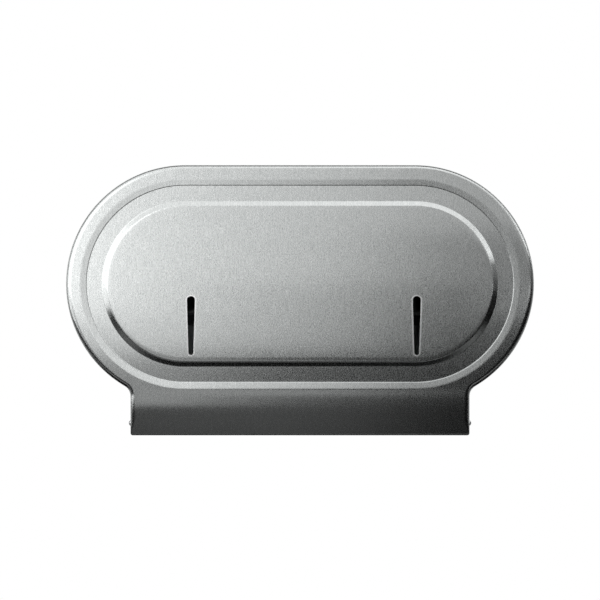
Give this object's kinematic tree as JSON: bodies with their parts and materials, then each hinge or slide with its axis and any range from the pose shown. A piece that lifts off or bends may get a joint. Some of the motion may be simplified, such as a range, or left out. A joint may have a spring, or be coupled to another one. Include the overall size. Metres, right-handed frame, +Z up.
{
  "type": "jumbo toilet roll dispenser",
  "caption": "Wall dispenser for jumbo toilet rolls side by side: a drawn steel cover with tapered viewing slots swings down over a wall plate with turning roll hubs.",
  "frame": {"origin": "middle of the four wall screw holes, on the back face of the wall plate", "axes": "+X to the right seen from the front, +Z up, +Y into the wall; the front faces -Y"},
  "size_m": [0.52, 0.12, 0.3011],
  "materials": {
    "brushed_stainless": "vertically brushed stainless sheet",
    "plate_steel": "plain mill finish stainless plate",
    "zinc_plated": "zinc plated steel",
    "turned_steel": "turned and polished steel",
    "spring_steel": "rolled spring steel",
    "nylon": "natural nylon",
    "hub_plastic": "moulded grey plastic with a fine texture",
    "lock_nickel": "nickel plated brass"
  },
  "bodies": {
    "root": {"back_plate": "plate_steel", "left_hinge_bracket": "zinc_plated", "right_hinge_bracket": "zinc_plated", "bracket_rivets": "zinc_plated", "left_hinge_pin": "turned_steel", "right_hinge_pin": "turned_steel", "hinge_washers": "nylon", "left_spindle_base": "zinc_plated", "right_spindle_base": "zinc_plated", "spindle_base_rivets": "zinc_plated", "left_spindle_post": "turned_steel", "right_spindle_post": "turned_steel", "left_brake_washer": "nylon", "right_brake_washer": "nylon", "left_end_washer": "turned_steel", "right_end_washer": "turned_steel", "left_end_screw": "turned_steel", "right_end_screw": "turned_steel", "lock_keeper": "zinc_plated", "keeper_rivets": "zinc_plated"},
    "cover": {"cover_shell": "brushed_stainless", "left_tear_bar": "spring_steel", "right_tear_bar": "spring_steel", "tear_bar_rivets": "turned_steel", "lock_doubler": "plate_steel", "lock_housing": "lock_nickel", "lock_nut": "zinc_plated"},
    "lock_cylinder": {"lock_plug": "lock_nickel", "lock_cam": "zinc_plated", "cam_screw": "zinc_plated"},
    "left_roll_hub": {"left_hub": "hub_plastic", "left_core_springs": "spring_steel"},
    "right_roll_hub": {"right_hub": "hub_plastic", "right_core_springs": "spring_steel"}
  },
  "joints": [
    {"name": "cover_hinge", "type": "hinge", "parent": "root", "child": "cover", "pos_m": [0, -0.015, -0.1555], "axis": [1, 0, 0], "range_deg": [0, 90]},
    {"name": "lock_turn", "type": "hinge", "parent": "cover", "child": "lock_cylinder", "pos_m": [0, -0.024, 0.132], "axis": [0, 0, 1], "range_deg": [0, 90]},
    {"name": "left_hub_turn", "type": "hinge", "parent": "root", "child": "left_roll_hub", "pos_m": [-0.128, -0.05, 0], "axis": [0, 1, 0], "continuous": true},
    {"name": "right_hub_turn", "type": "hinge", "parent": "root", "child": "right_roll_hub", "pos_m": [0.128, -0.05, 0], "axis": [0, 1, 0], "continuous": true}
  ]
}
